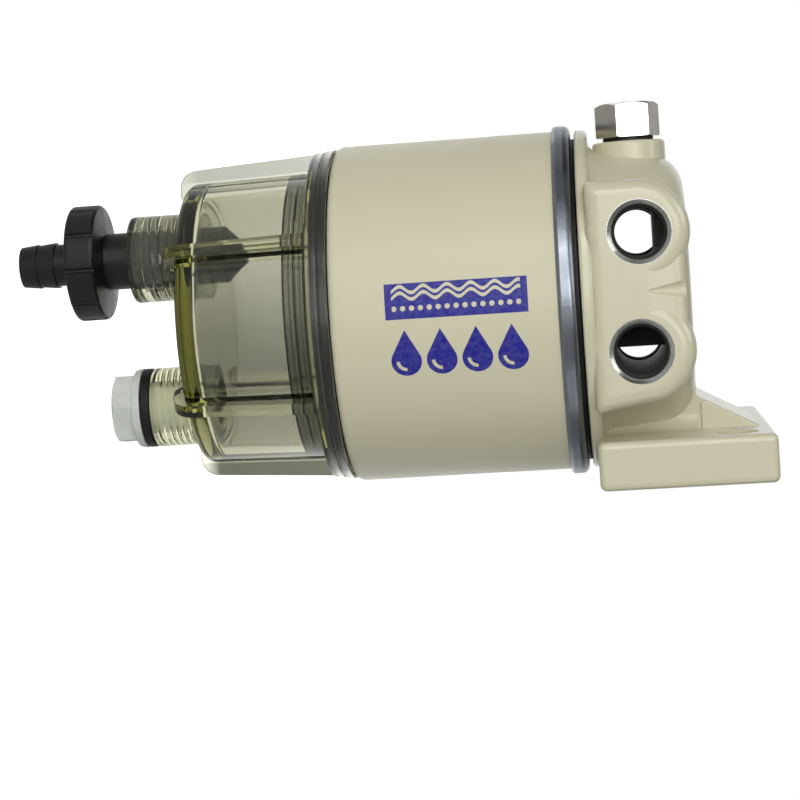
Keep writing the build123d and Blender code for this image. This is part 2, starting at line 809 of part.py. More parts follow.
# Bowl: clear moulding with a threaded neck, six ribs and two threaded bosses under its floor
collar_top = bowl_top - bowl_lip_height - bowl_groove_height
lip_bottom = bowl_top - bowl_lip_height
groove_floor = can_bottom - bowl_seal_height
groove_outer = bowl_seal_outer + seal_gap
groove_inner = bowl_seal_outer - bowl_seal_width - seal_gap
wall_inner_top = bowl_wall_top - bowl_wall
wall_inner_bottom = bowl_wall_bottom - bowl_wall
step_radius = (wall_inner_top + bowl_neck_bore) / 2
drain_seal_top = bowl_end - drain_seal_depth
drain_seal_bottom = drain_seal_top - drain_seal_height
with BuildPart() as bowl:
    turned(
        [
            (0, bowl_end),
            (bowl_wall_bottom, bowl_end),
            (bowl_wall_top, flange_bottom),
            (bowl_collar_radius, flange_bottom),
            (bowl_collar_radius, collar_top),
            (bowl_collar_radius - bowl_groove_depth, collar_top),
            (bowl_collar_radius - bowl_groove_depth, lip_bottom),
            (bowl_flange_radius, lip_bottom),
            (bowl_flange_radius, bowl_top),
            (groove_outer, bowl_top),
            (groove_outer, groove_floor),
            (groove_inner, groove_floor),
            (groove_inner, bowl_top),
            (bowl_neck_radius, bowl_top),
            (bowl_neck_radius, bowl_top + bowl_neck_height),
            (bowl_neck_bore, bowl_top + bowl_neck_height),
            (bowl_neck_bore, flange_bottom - 1),
            (step_radius, flange_bottom - 1),
            (step_radius, flange_bottom - 1 - bowl_step_height),
            (wall_inner_top - 0.6, flange_bottom - 1 - bowl_step_height),
            (wall_inner_top - 0.6, flange_bottom - 1 - 2 * bowl_step_height),
            (wall_inner_top, flange_bottom - 1 - 2 * bowl_step_height),
            (wall_inner_bottom, bowl_floor_z),
            (0, bowl_floor_z),
        ],
        [0, bowl_corner, 1.0, 0.5, 0, 0, 0, 0.4, 0.2, 0.2, 0, 0, 0, 0, 0.8, 0.5]
        + [0.4, 0.4, 0.4, 0.3, 0.3, 0.2, 2.0, 0],
    )
    for rib in range(rib_count):
        turn = radians(90 + rib_turn + rib * 360 / rib_count)
        rib_plane = Plane(
            origin=(0, axis_y, 0), x_dir=(cos(turn), sin(turn), 0), z_dir=(sin(turn), -cos(turn), 0)
        )
        with BuildSketch(rib_plane):
            with BuildLine():
                FilletPolyline(
                    (bowl_wall_top - 1.5, flange_bottom + 0.5),
                    (rib_top_radius, flange_bottom + 0.5),
                    (rib_bottom_radius, bowl_end - rib_overhang),
                    (rib_end_inner + 3, bowl_end - rib_overhang),
                    (rib_end_inner, bowl_end + 0.4),
                    (bowl_wall_bottom - 1.5, bowl_end + bowl_floor - 1),
                    radius=[0, 0, rib_corner, 0.8, 0, 0],
                    close=True,
                )
            make_face()
        extrude(amount=rib_thickness / 2, both=True)
    turned(
        [
            (0, bowl_end + 1),
            (drain_boss_radius, bowl_end + 1),
            (drain_boss_radius, drain_boss_end),
            (0, drain_boss_end),
        ],
        [0, 0, 0.8, 0],
        y=drain_y,
    )
    turned(
        [
            (0, bowl_end + 1),
            (probe_boss_radius, bowl_end + 1),
            (probe_boss_radius, probe_boss_end),
            (0, probe_boss_end),
        ],
        [0, 0, 0.5, 0],
        y=probe_y,
    )
    with BuildSketch(level(drain_boss_end, drain_y)):
        Circle(drain_stem_radius + thread_gap)
    extrude(amount=drain_boss_length + bowl_floor, mode=Mode.SUBTRACT)
    with BuildSketch(level(drain_seal_bottom - drain_relief_drop, drain_y)):
        Circle(drain_stem_radius + thread_gap + drain_relief)
    extrude(amount=-drain_relief_height, mode=Mode.SUBTRACT)
    with BuildSketch(level(probe_boss_end, probe_y)):
        Circle(probe_thread_radius + thread_gap)
    extrude(amount=probe_boss_length + bowl_floor, mode=Mode.SUBTRACT)
save(bowl, "bowl")

# Drain valve: stem, hand wheel and hose barb in one moulding, with a seal ring on the stem.
# Screwed down, the ring drops into the relief in the boss and water reaches the cross hole.
drain_tip_z = bowl_end + drain_stem_inside
wheel_top = drain_boss_end - drain_neck_length
rim_top = wheel_top - wheel_back_slope - wheel_back_chamfer
rim_bottom = rim_top - wheel_rim
barb_end = rim_bottom - barb_length
stem_groove_radius = drain_stem_radius - drain_seal_section - seal_gap
with BuildPart() as drain_valve:
    # Round wheel rim with narrow notches for the fingers
    with BuildSketch(level(rim_bottom, drain_y)):
        Circle(wheel_radius)
        with PolarLocations(wheel_radius, wheel_lobes, start_angle=wheel_turn):
            Circle(wheel_notch_radius, mode=Mode.SUBTRACT)
    extrude(amount=wheel_top - rim_bottom)
    turned(
        [
            (0, rim_bottom),
            (wheel_radius, rim_bottom),
            (wheel_radius, rim_top),
            (wheel_radius - wheel_back_chamfer, rim_top + wheel_back_chamfer),
            (drain_stem_radius, wheel_top),
            (0, wheel_top),
        ],
        [0, 1.0, 0.5, 0, 0, 0],
        y=drain_y,
        mode=Mode.INTERSECT,
    )
    # Stem with its conical tip and seal groove, and the barbed tail
    first_edge = barb_end + barb_first_edge
    second_edge = barb_end + barb_second_edge
    turned(
        [
            (0, barb_end),
            (barb_radius - barb_end_taper, barb_end),
            (barb_radius + barb_first_rise, first_edge),
            (barb_radius, first_edge),
            (barb_radius + barb_second_rise, second_edge),
            (barb_radius, second_edge),
            (barb_radius, rim_bottom + 1),
            (drain_stem_radius, rim_bottom + 1),
            (drain_stem_radius, drain_seal_bottom),
            (stem_groove_radius, drain_seal_bottom),
            (stem_groove_radius, drain_seal_top),
            (drain_stem_radius, drain_seal_top),
            (drain_stem_radius, drain_tip_z - drain_tip_length),
            (drain_tip_radius, drain_tip_z),
            (0, drain_tip_z),
        ],
        y=drain_y,
    )
    with BuildSketch(level(barb_end, drain_y)):
        Circle(drain_bore_radius)
    extrude(amount=drain_tip_z - drain_tip_length - barb_end, mode=Mode.SUBTRACT)
    with BuildSketch(Plane.YZ):
        with Locations((drain_y, drain_seal_bottom - drain_port_drop)):
            Circle(drain_port_radius)
    extrude(amount=2 * drain_stem_radius, both=True, mode=Mode.SUBTRACT)
save(drain_valve, "drain_valve")

with BuildPart() as drain_seal:
    turned(
        [
            (stem_groove_radius + seal_gap, drain_seal_bottom),
            (drain_stem_radius, drain_seal_bottom),
            (drain_stem_radius, drain_seal_top),
            (stem_groove_radius + seal_gap, drain_seal_top),
        ],
        0.4,
        y=drain_y,
    )
save(drain_seal, "drain_seal")

# Probe plug: nylon screw that closes the water sensor's boss, and its seal ring
flange_top_z = probe_boss_end - probe_seal_thickness
probe_hex_top = flange_top_z - probe_flange_thickness
probe_hex_end = probe_hex_top - probe_hex_height
probe_corner = probe_hex / 2 / cos(radians(30))
with BuildPart() as probe_plug:
    with BuildSketch(level(probe_hex_top, probe_y)):
        RegularPolygon(radius=probe_corner, side_count=6, rotation=-probe_hex_turn)
    extrude(amount=-probe_hex_height)
    turned(
        [
            (0, probe_hex_top),
            (probe_corner + 0.2, probe_hex_top),
            (probe_corner + 0.2, probe_hex_end + 0.9),
            (probe_hex / 2 - 0.2, probe_hex_end),
            (0, probe_hex_end),
        ],
        y=probe_y,
        mode=Mode.INTERSECT,
    )
    turned(
        [
            (0, probe_boss_end + probe_thread_length),
            (probe_thread_radius, probe_boss_end + probe_thread_length),
            (probe_thread_radius, flange_top_z),
            (probe_flange_radius, flange_top_z),
            (probe_flange_radius - probe_flange_taper, probe_hex_top),
            (0, probe_hex_top),
        ],
        [0, 0.8, 0, 0.3, 0.4, 0],
        y=probe_y,
    )
save(probe_plug, "probe_plug")

with BuildPart() as probe_seal:
    turned(
        [
            (probe_thread_radius + seal_gap, probe_boss_end),
            (probe_boss_radius, probe_boss_end),
            (probe_boss_radius, flange_top_z),
            (probe_thread_radius + seal_gap, flange_top_z),
        ],
        0.7,
        y=probe_y,
    )
save(probe_seal, "probe_seal")
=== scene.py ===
import json
import math

import bpy
import numpy as np
from mathutils import Matrix, Vector


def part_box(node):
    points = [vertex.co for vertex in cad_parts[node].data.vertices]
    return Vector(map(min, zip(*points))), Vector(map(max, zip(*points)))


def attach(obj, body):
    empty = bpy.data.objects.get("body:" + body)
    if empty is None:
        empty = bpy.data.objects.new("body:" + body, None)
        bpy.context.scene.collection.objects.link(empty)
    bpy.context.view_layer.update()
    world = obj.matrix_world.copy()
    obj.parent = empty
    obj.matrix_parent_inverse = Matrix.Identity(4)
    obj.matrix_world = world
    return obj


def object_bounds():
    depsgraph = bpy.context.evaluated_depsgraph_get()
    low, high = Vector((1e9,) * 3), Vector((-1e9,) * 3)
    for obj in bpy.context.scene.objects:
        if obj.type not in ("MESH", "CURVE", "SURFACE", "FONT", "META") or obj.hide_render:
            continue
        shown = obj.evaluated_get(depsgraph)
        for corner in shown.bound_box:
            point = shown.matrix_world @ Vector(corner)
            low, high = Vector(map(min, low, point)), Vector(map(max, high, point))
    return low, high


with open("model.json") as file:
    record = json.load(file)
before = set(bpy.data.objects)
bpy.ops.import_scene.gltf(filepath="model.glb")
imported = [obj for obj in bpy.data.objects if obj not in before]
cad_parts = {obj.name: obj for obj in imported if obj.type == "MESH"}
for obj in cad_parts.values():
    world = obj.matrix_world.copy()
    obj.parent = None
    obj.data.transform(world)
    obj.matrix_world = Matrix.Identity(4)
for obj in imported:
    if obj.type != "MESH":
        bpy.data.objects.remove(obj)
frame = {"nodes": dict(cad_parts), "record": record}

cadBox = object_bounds()
nodes = frame["nodes"]
mounts = {m["name"]: m for m in frame["record"]["mounts"]}
mm = 0.001

# Places that several pieces share, read from the frame
canLow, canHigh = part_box("filter_can")
bowlLow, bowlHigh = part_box("bowl")
headLow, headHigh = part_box("head")
canRadius = (canHigh[0] - canLow[0]) / 2
filterY = (canLow[1] + canHigh[1]) / 2
filterAxis = (0, filterY, 0)
upwards = (0, 0, 1)
sealZ = headLow[2]


# Helpers for shader trees

def displayColour(r, g, b):
    # an eight-bit screen colour as linear light
    steps = [c / 255 for c in (r, g, b)]
    return (*[c / 12.92 if c <= 0.04045 else ((c + 0.055) / 1.055) ** 2.4 for c in steps], 1.0)


def scaledColour(colour, factor):
    return tuple(min(1.0, c * factor) for c in colour[:3]) + (1.0,)


def addNode(tree, kind, **settings):
    made = tree.nodes.new(kind)
    for key, value in settings.items():
        setattr(made, key, value)
    return made


def feed(tree, socket, value):
    # a value is another node's socket, or a number or colour set on the socket itself
    if isinstance(value, bpy.types.NodeSocket):
        tree.links.new(value, socket)
    else:
        socket.default_value = value


def calc(tree, operation, *values, clamp=False):
    made = addNode(tree, "ShaderNodeMath", operation=operation, use_clamp=clamp)
    for socket, value in zip(made.inputs, values):
        feed(tree, socket, value)
    return made.outputs[0]


def times(tree, a, b):
    return calc(tree, "MULTIPLY", a, b)


def plus(tree, a, b):
    return calc(tree, "ADD", a, b)


def minus(tree, a, b):
    return calc(tree, "SUBTRACT", a, b)


def larger(tree, a, b):
    return calc(tree, "MAXIMUM", a, b)


def below(tree, value, limit):
    return calc(tree, "LESS_THAN", value, limit)


def above(tree, value, limit):
    return calc(tree, "GREATER_THAN", value, limit)


def vectorCalc(tree, operation, *values, output=0):
    made = addNode(tree, "ShaderNodeVectorMath", operation=operation)
    for socket, value in zip(made.inputs, values):
        feed(tree, socket, value)
    return made.outputs[output]


def split(tree, vector):
    parts = addNode(tree, "ShaderNodeSeparateXYZ")
    feed(tree, parts.inputs[0], vector)
    return parts.outputs


def mixColour(tree, factor, a, b):
    made = addNode(tree, "ShaderNodeMix", data_type="RGBA")
    feed(tree, made.inputs[0], factor)
    feed(tree, made.inputs[6], a)
    feed(tree, made.inputs[7], b)
    return made.outputs[2]


def mixValue(tree, factor, a, b):
    made = addNode(tree, "ShaderNodeMix", data_type="FLOAT")
    feed(tree, made.inputs[0], factor)
    feed(tree, made.inputs[2], a)
    feed(tree, made.inputs[3], b)
    return made.outputs[0]


def remap(tree, value, low, high, toLow=0.0, toHigh=1.0, smooth=False):
    made = addNode(tree, "ShaderNodeMapRange", interpolation_type="SMOOTHSTEP" if smooth else "LINEAR")
    feed(tree, made.inputs["Value"], value)
    for name, number in (("From Min", low), ("From Max", high), ("To Min", toLow), ("To Max", toHigh)):
        feed(tree, made.inputs[name], number)
    return made.outputs[0]


def noise(tree, vector, scale, detail=2.0):
    made = addNode(tree, "ShaderNodeTexNoise")
    feed(tree, made.inputs["Vector"], vector)
    feed(tree, made.inputs["Scale"], scale)
    made.inputs["Detail"].default_value = detail
    return made.outputs["Fac"]


def axisDistance(tree, vector, point, axis):
    # distance from a line: the length of (place - point) crossed with the line's direction
    away = vectorCalc(tree, "SUBTRACT", vector, tuple(point))
    return vectorCalc(tree, "LENGTH", vectorCalc(tree, "CROSS_PRODUCT", away, tuple(axis)), output=1)


def newGroup(name, inputs, outputs):
    group = bpy.data.node_groups.new(name, "ShaderNodeTree")
    for label, kind, value in inputs:
        socket = group.interface.new_socket(label, in_out="INPUT", socket_type="NodeSocket" + kind)
        if value is not None:
            socket.default_value = value
    for label, kind in outputs:
        group.interface.new_socket(label, in_out="OUTPUT", socket_type="NodeSocket" + kind)
    return group, addNode(group, "NodeGroupInput").outputs, addNode(group, "NodeGroupOutput").inputs


def useGroup(tree, group, **values):
    made = addNode(tree, "ShaderNodeGroup", node_tree=group)
    for name, value in values.items():
        feed(tree, made.inputs[name], value)
    return made.outputs


def newMaterial(name, **constants):
    # a Principled shader with its constants set straight on its sockets
    material = bpy.data.materials.new(name)
    material.use_nodes = True
    tree = material.node_tree
    tree.nodes.clear()
    out = addNode(tree, "ShaderNodeOutputMaterial")
    skin = addNode(tree, "ShaderNodeBsdfPrincipled")
    tree.links.new(skin.outputs[0], out.inputs["Surface"])
    for key, value in constants.items():
        skin.inputs[key].default_value = value
    place = addNode(tree, "ShaderNodeTexCoord").outputs["Object"]
    return material, tree, skin, place


def addBump(tree, skin, height, distance, strength):
    bump = addNode(tree, "ShaderNodeBump")
    bump.inputs["Distance"].default_value = distance
    bump.inputs["Strength"].default_value = strength
    feed(tree, bump.inputs["Height"], height)
    tree.links.new(bump.outputs[0], skin.inputs["Normal"])


def patchyRoughness(tree, skin, mask, rough, less, more):
    # roughness that wanders between a little less and a little more than its plain value
    feed(tree, skin.inputs["Roughness"], remap(tree, mask, 0.0, 1.0, rough - less, rough + more))


# Helpers for meshes

def newPiece(name, points, faces):
    mesh = bpy.data.meshes.new(name)
    mesh.from_pydata(points, [], faces)
    piece = bpy.data.objects.new(name, mesh)
    bpy.context.scene.collection.objects.link(piece)
    return piece


def newSmoothPiece(name, points, faces, sharpAngle):
    piece = newPiece(name, points.tolist(), faces.tolist())
    piece.data.shade_smooth()
    piece.data.set_sharp_from_angle(angle=math.radians(sharpAngle))
    return piece


# Stage: camera, floor, world and lamps
stage = {
    "lens": 99.0,
    "sensorWidth": 36.0,
    "clipStart": 0.01,
    "cameraPlace": (0.5452, -0.0595, -0.0253),
    "roll": 3.85,
    "tilt": 3.99,
    "pan": -5.87,
    "floorDrop": 0.045,
    "floorSize": 6.0,
    "floorColour": (0.60, 0.60, 0.59, 1.0),
    "floorRough": 0.9,
    "floorGlow": 1.0,
    "grainColour": (0.5, 0.5, 0.5, 1.0),
    "grainScale": 60.0,
    "grainShare": 0.04,
    "worldStrength": 0.37,
    "roomGloss": 0.07,
    "roomThrough": 0.75,
    "floorFade": (-0.6, -0.15),
    "glossFade": (-0.95, -0.65),
    "throughFade": (-0.97, -0.5),
}

# each lamp: its place, what it aims at, its size, its watts, whether it lights and whether gloss shows it
filterMiddle = (0.0, filterY, -0.05)
lamps = {
    "keyLamp": ((0.95, -0.45, 0.05), filterMiddle, (0.9, 0.9), 7.0, True, True),
    "cameraLamp": ((1.0, -0.15, -0.10), filterMiddle, (0.5, 0.5), 2.0, True, False),
    "glintLamp": ((0.82, -0.13, 0.42), (0.0, -0.08, -0.02), (0.3, 0.4), 0.9, False, True),
    "stripLamp": ((0.77, -0.69, -0.05), filterMiddle, (0.16, 0.8), 1.2, False, True),
    "sideLamp": ((0.2, -0.38, 0.92), (0.0, -0.06, 0.0), (0.5, 0.5), 2.7, False, True),
    "backLamp": ((-1.0, 0.15, 0.15), filterMiddle, (0.8, 0.8), 3.0, True, False),
    "lowLamp": ((0.5, 0.75, 0.15), (0.0, -0.045, 0.0), (0.5, 0.5), 0.8, False, True),
}


def makeCamera():
    # a long lens beside the filter: it looks along -X, with +Z to its right and the filter's front on top
    data = bpy.data.cameras.new("camera")
    data.lens = stage["lens"]
    data.sensor_width = stage["sensorWidth"]
    data.clip_start = stage["clipStart"]
    camera = bpy.data.objects.new("camera", data)
    bpy.context.scene.collection.objects.link(camera)
    roll, tilt, pan = (Matrix.Rotation(math.radians(stage[key]), 3, axis)
                       for key, axis in (("roll", "Z"), ("tilt", "X"), ("pan", "Y")))
    toFrame = Matrix(((0, 0, 1), (0, -1, 0), (1, 0, 0)))
    turn = toFrame @ (roll @ tilt @ pan).transposed()
    camera.matrix_world = Matrix.Translation(stage["cameraPlace"]) @ turn.to_4x4()
    bpy.context.scene.camera = camera


def makeFloor():
    # white to the camera and through glass; gloss sees it white behind the filter and dim before it
    low = cadBox[0][2] - stage["floorDrop"]
    half = stage["floorSize"] / 2
    corners = [(-half, -half, low), (half, -half, low), (half, half, low), (-half, half, low)]
    floor = newPiece("floor", corners, [(0, 1, 2, 3)])
    material, tree, skin, place = newMaterial("floorPaper", Roughness=stage["floorRough"])
    grain = remap(tree, noise(tree, place, stage["grainScale"], 3.0), 0.3, 0.7, 0.0, stage["grainShare"])
    colour = mixColour(tree, grain, stage["floorColour"], stage["grainColour"])
    feed(tree, skin.inputs["Base Color"], colour)
    path = addNode(tree, "ShaderNodeLightPath").outputs
    behind = remap(tree, split(tree, place)[0], *stage["floorFade"], 1.0, stage["roomGloss"], smooth=True)
    straight = larger(tree, path["Is Camera Ray"], path["Is Transmission Ray"])
    seen = larger(tree, straight, times(tree, path["Is Glossy Ray"], behind))
    skin.inputs["Emission Color"].default_value = (1, 1, 1, 1)
    feed(tree, skin.inputs["Emission Strength"], times(tree, seen, stage["floorGlow"]))
    floor.data.materials.append(material)


def makeWorld():
    # white to the camera all round; metal and glass see it white behind the filter and dim elsewhere,
    # where a studio's room is
    world = bpy.data.worlds.new("studio")
    bpy.context.scene.world = world
    world.use_nodes = True
    tree = world.node_tree
    tree.nodes.clear()
    out = addNode(tree, "ShaderNodeOutputWorld")
    soft = addNode(tree, "ShaderNodeBackground")
    soft.inputs["Strength"].default_value = stage["worldStrength"]
    white = addNode(tree, "ShaderNodeBackground")
    for shade in (soft, white):
        shade.inputs["Color"].default_value = (1, 1, 1, 1)
    path = addNode(tree, "ShaderNodeLightPath").outputs
    away = addNode(tree, "ShaderNodeTexCoord").outputs["Generated"]
    towards = vectorCalc(tree, "DOT_PRODUCT", away, (1, 0, 0), output=1)
    gloss = times(tree, path["Is Glossy Ray"],
                  remap(tree, towards, *stage["glossFade"], 1.0, stage["roomGloss"], smooth=True))
    through = times(tree, path["Is Transmission Ray"],
                    remap(tree, towards, *stage["throughFade"], 1.0, stage["roomThrough"], smooth=True))
    feed(tree, white.inputs["Strength"], larger(tree, path["Is Camera Ray"], larger(tree, gloss, through)))
    mirrored = larger(tree, path["Is Camera Ray"], path["Is Glossy Ray"])
    seen = larger(tree, mirrored, path["Is Transmission Ray"])
    mix = addNode(tree, "ShaderNodeMixShader")
    for socket, value in zip(mix.inputs, (seen, soft.outputs[0], white.outputs[0])):
        tree.links.new(value, socket)
    tree.links.new(mix.outputs[0], out.inputs["Surface"])


def makeLamp(name, place, target, size, watts, lights, mirrored):
    # a soft box aimed at the filter; it may light without showing in the gloss, or show there alone
    data = bpy.data.lights.new(name, "AREA")
    data.shape = "RECTANGLE"
    data.size, data.size_y = size
    data.energy = watts
    lamp = bpy.data.objects.new(name, data)
    bpy.context.scene.collection.objects.link(lamp)
    aim = (Vector(target) - Vector(place)).to_track_quat("-Z", "Y")
    lamp.matrix_world = Matrix.Translation(place) @ aim.to_matrix().to_4x4()
    lamp.visible_diffuse = lights
    lamp.visible_glossy = mirrored
    lamp.visible_transmission = False


makeCamera()
makeFloor()
makeWorld()
for name, values in lamps.items():
    makeLamp(name, *values)
bpy.context.scene.view_settings.view_transform = "Standard"
print("stage ready")


# Shared effects; a scale counts features in a metre
paintEffect = {
    "cloudShare": 0.25,
    "speckScale": 1400.0,
    "speckFade": (0.69, 0.74),
    "speckShare": 0.3,
    "glossScale": 160.0,
    "glossRange": (0.29, 0.35),
    "peelScale": 620.0,
    "fineScale": 2400.0,
    "fineShare": 0.25,
}
grainEffect = {"cloudScale": 180.0, "cloudShare": 0.5}
latheEffect = {"wobbleScale": 90.0, "patchScale": 140.0, "fullTurn": 6.2832}
edgeEffect = {"samples": 4, "leanRange": (0.03, 0.2), "patchScale": 300.0}
dropEffect = {"crescentRadius": 0.56, "crescentHalf": 0.11}


def makePaintGroup():
    # gloss enamel: orange peel in the height, faint clouds and specks in the colour, a little uneven gloss
    look = paintEffect
    inputs = [("Place", "Vector", None), ("Tint", "Color", (0.8, 0.8, 0.7, 1)),
              ("Shade", "Color", (0.7, 0.7, 0.6, 1)), ("Cloud", "Float", 40.0)]
    outputs = [("Colour", "Color"), ("Gloss", "Float"), ("Height", "Float")]
    group, given, out = newGroup("enamel", inputs, outputs)
    place = given["Place"]
    cloud = remap(group, noise(group, place, given["Cloud"]), 0.2, 0.8, smooth=True)
    colour = mixColour(group, times(group, cloud, look["cloudShare"]), given["Tint"], given["Shade"])
    speck = remap(group, noise(group, place, look["speckScale"]), *look["speckFade"])
    colour = mixColour(group, times(group, speck, look["speckShare"]), colour, given["Shade"])
    feed(group, out["Colour"], colour)
    uneven = noise(group, place, look["glossScale"])
    feed(group, out["Gloss"], remap(group, uneven, 0.25, 0.75, *look["glossRange"]))
    peel = noise(group, place, look["peelScale"], 1.0)
    fine = noise(group, place, look["fineScale"], 1.0)
    feed(group, out["Height"], plus(group, peel, times(group, fine, look["fineShare"])))
    return group


def makeGrainGroup():
    # moulded grain: fine pits and clouds of gloss
    group, given, out = newGroup("mouldGrain", [("Place", "Vector", None), ("Pits", "Float", 1500.0)],
                                 [("Height", "Float"), ("Mask", "Float")])
    pits = addNode(group, "ShaderNodeTexVoronoi")
    feed(group, pits.inputs["Vector"], given["Place"])
    feed(group, pits.inputs["Scale"], given["Pits"])
    cloud = noise(group, given["Place"], grainEffect["cloudScale"], 3.0)
    swell = times(group, cloud, grainEffect["cloudShare"])
    feed(group, out["Height"], plus(group, pits.outputs["Distance"], swell))
    feed(group, out["Mask"], remap(group, cloud, 0.3, 0.7))
    return group


def makeLatheGroup():
    # turned metal: rings whose height is a sine of distance along the axis plus distance from it
    group, given, out = newGroup("latheLines", [("Place", "Vector", None), ("Spacing", "Float", 0.0004)],
                                 [("Height", "Float"), ("Mask", "Float")])
    x, y, z = split(group, given["Place"])
    radius = calc(group, "SQRT", plus(group, times(group, x, x), times(group, y, y)))
    along = calc(group, "DIVIDE", plus(group, radius, z), given["Spacing"])
    wobble = noise(group, given["Place"], latheEffect["wobbleScale"])
    ring = calc(group, "SINE", times(group, plus(group, along, wobble), latheEffect["fullTurn"]))
    feed(group, out["Height"], remap(group, ring, -1.0, 1.0))
    patch = noise(group, given["Place"], latheEffect["patchScale"], 3.0)
    feed(group, out["Mask"], remap(group, patch, 0.35, 0.65))
    return group


def makeEdgeGroup():
    # edge wear and a painted highlight: edges are lightened where the rounded normal of nearby faces
    # departs from the face's own normal
    group, given, out = newGroup("edgeWearAndHighlight", [("Place", "Vector", None), ("Reach", "Float", 0.0005)],
                                 [("Mask", "Float")])
    rounded = addNode(group, "ShaderNodeBevel", samples=edgeEffect["samples"])
    feed(group, rounded.inputs["Radius"], given["Reach"])
    own = addNode(group, "ShaderNodeNewGeometry").outputs["Normal"]
    lean = minus(group, 1.0, vectorCalc(group, "DOT_PRODUCT", rounded.outputs[0], own, output=1))
    patch = remap(group, noise(group, given["Place"], edgeEffect["patchScale"], 3.0), 0.4, 0.6)
    edge = remap(group, lean, *edgeEffect["leanRange"])
    feed(group, out["Mask"], calc(group, "MULTIPLY", edge, patch, clamp=True))
    return group


def makeDropGroup():
    # one drop: a circle, and the cone of its two tangents up to the tip, less a pale crescent
    inputs = [("X", "Float", 0.0), ("Y", "Float", 0.0), ("Radius", "Float", 0.003), ("Tip", "Float", 0.007)]
    group, given, out = newGroup("dropMark", inputs, [("Mask", "Float")])
    x, y, radius, tip = (given[name] for name in ("X", "Y", "Radius", "Tip"))
    square = plus(group, times(group, x, x), times(group, y, y))
    radiusSquare = times(group, radius, radius)
    disc = below(group, square, radiusSquare)
    tangent = calc(group, "DIVIDE", radiusSquare, tip)
    side = calc(group, "SQRT", minus(group, times(group, tip, tip), radiusSquare))
    half = times(group, minus(group, tip, y), calc(group, "DIVIDE", radius, side))
    cone = times(group, below(group, calc(group, "ABSOLUTE", x), half), above(group, y, tangent))
    far = calc(group, "SQRT", square)
    off = calc(group, "ABSOLUTE", minus(group, far, times(group, radius, dropEffect["crescentRadius"])))
    ring = below(group, off, times(group, radius, dropEffect["crescentHalf"]))
    corner = times(group, below(group, x, 0.0), below(group, y, 0.0))
    crescent = times(group, ring, corner)
    feed(group, out["Mask"], calc(group, "SUBTRACT", larger(group, disc, cone), crescent, clamp=True))
    return group


enamel = makePaintGroup()
mouldGrain = makeGrainGroup()
latheLines = makeLatheGroup()
edgeWearAndHighlight = makeEdgeGroup()
dropMark = makeDropGroup()
print("shared effects ready")


# Head casting: cream enamel outside, bare turned aluminium in the port mouths and on the seal face, and
# a painted shade deep in the ports and galleries, a dull dark grey that stands in for the shadow there
headLook = {
    "tint": displayColour(203, 199, 172),
    "shade": displayColour(197, 193, 165),
    "cloudScale": 55.0,
    "wearAndHighlightTint": displayColour(212, 209, 184),
    "wearAndHighlightShare": 0.5,
    "wearAndHighlightReach": 0.7 * mm,
    "metal": displayColour(188, 188, 184),
    "metalRough": 0.19,
    "metalSpread": (0.06, 0.08),
    "deepPaintedShade": displayColour(48, 47, 44),
    "deepRough": 0.6,
    "deepMetallic": 0.1,
    "turnSpacing": 0.5 * mm,
    "threadRadius": mounts["inlet_port_right"]["dims"]["r_mm"] * mm,
    "mouthDepth": (3.4 * mm, 1.8 * mm),
    "mouthFlare": (0.1 * mm, 0.3 * mm),
    "boreReach": 7.5 * mm,
    "gutReach": 32.0 * mm,
    "gutTop": sealZ + 18.0 * mm,
    "faceTop": sealZ + 0.05 * mm,
    "coat": 0.5,
    "coatRough": 0.13,
    "specular": 0.3,
    "bump": (0.01 * mm, 0.5),
}


